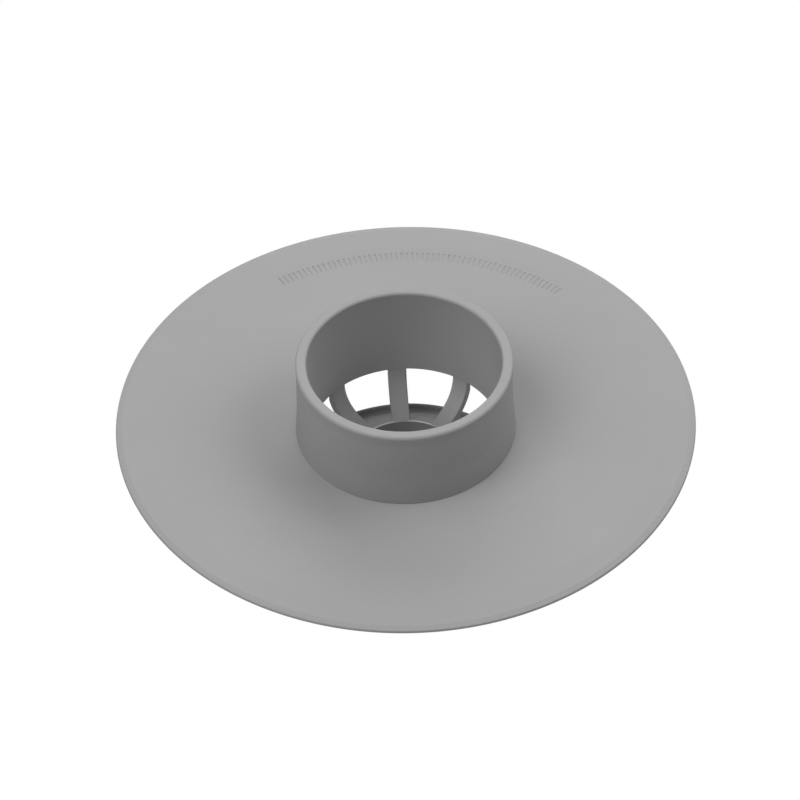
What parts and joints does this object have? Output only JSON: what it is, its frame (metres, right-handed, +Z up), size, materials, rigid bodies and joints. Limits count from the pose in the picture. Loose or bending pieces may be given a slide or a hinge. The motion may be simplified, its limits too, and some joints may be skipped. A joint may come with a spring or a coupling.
{
  "type": "drain strainer with sealing mat",
  "caption": "Round flexible sealing mat with a plug-in neck, a ribbed strainer cage below it and a wide round cap on the cage's hub.",
  "frame": {"origin": "centre of the cap's flat underside, on which the part stands with its neck up", "axes": "+Z up along the axis, from the cap to the neck's rim; in use the part is turned over, so +Z points down the drain"},
  "size_m": [0.108, 0.108, 0.0375],
  "materials": {
    "soft_silicone": "matte, fine satin moulding",
    "firm_silicone": "matte, fine satin moulding"
  },
  "bodies": {
    "base": {"sealing_mat": "soft_silicone", "drain_neck": "soft_silicone"},
    "strainer": {"strainer_cage": "firm_silicone"},
    "cap": {"cap": "firm_silicone"}
  },
  "joints": [
    {"name": "strainer_pull", "type": "slide", "parent": "base", "child": "strainer", "axis": [0, 0, -1], "range_m": [0, 0.015]},
    {"name": "cap_pull", "type": "slide", "parent": "strainer", "child": "cap", "axis": [0, 0, -1], "range_m": [0, 0.015]}
  ]
}
